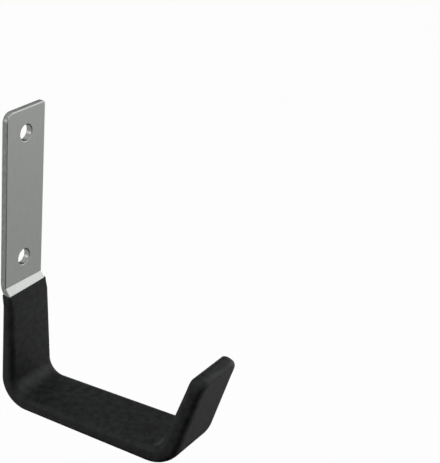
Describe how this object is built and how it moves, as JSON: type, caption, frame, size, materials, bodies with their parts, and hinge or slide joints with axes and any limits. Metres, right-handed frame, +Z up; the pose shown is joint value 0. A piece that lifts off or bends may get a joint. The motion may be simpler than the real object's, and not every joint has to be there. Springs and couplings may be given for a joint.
{
  "type": "wall utility hook",
  "caption": "Flat steel wall hook with an upper screw plate, a forward step, and a black soft sleeve over its square J-shaped arm with an upturned tip.",
  "frame": {"origin": "midway between the two screw holes, on the back face of the plate, where it rests on the wall", "axes": "+X to the right for someone who faces the wall, +Y into the wall, square to the plate's back face, +Z up along the plate"},
  "size_m": [0.0304, 0.108, 0.1391],
  "materials": {
    "steel_strap": "satin zinc-plated",
    "soft_sleeve": "matte"
  },
  "bodies": {
    "root": {"steel_strap": "steel_strap", "soft_sleeve": "soft_sleeve"}
  },
  "joints": []
}
